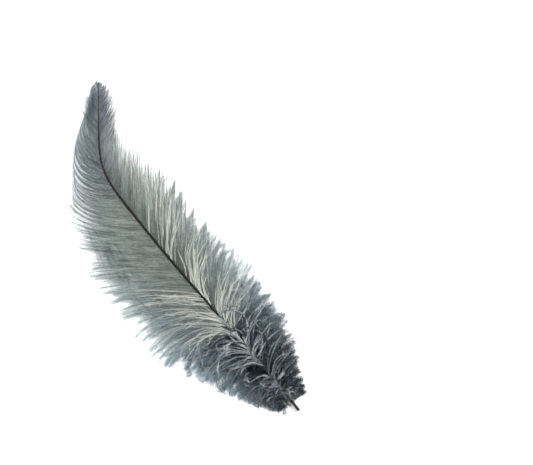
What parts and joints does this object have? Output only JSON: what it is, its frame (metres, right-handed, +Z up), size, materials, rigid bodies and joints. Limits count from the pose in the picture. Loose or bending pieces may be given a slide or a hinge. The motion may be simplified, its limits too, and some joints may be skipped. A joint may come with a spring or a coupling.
{
  "type": "ostrich feather",
  "caption": "Dyed grey ostrich drab feather lying flat: a dark curved shaft with ragged soft vanes, a slate tip and a dark downy foot.",
  "frame": {"origin": "middle of the feather's box, on the surface that it lies on", "axes": "+Y from the cut end of the quill towards the tip, along the straight line between them; +X to the right seen from above; +Z up, out of the feather's upper side"},
  "size_m": [0.1222, 0.3284, 0.0152],
  "materials": {
    "shaft": "smooth dark brown horn, satin, amber towards the quill",
    "vane": "matt soft barbs, dyed grey-green beige, slate at the tip and pale at the lower edge",
    "down": "matt fluffy down, dark slate blue with pale strand tips"
  },
  "bodies": {
    "root": {"shaft": "shaft", "left_vane": "vane", "right_vane": "vane", "down": "down"}
  },
  "joints": []
}
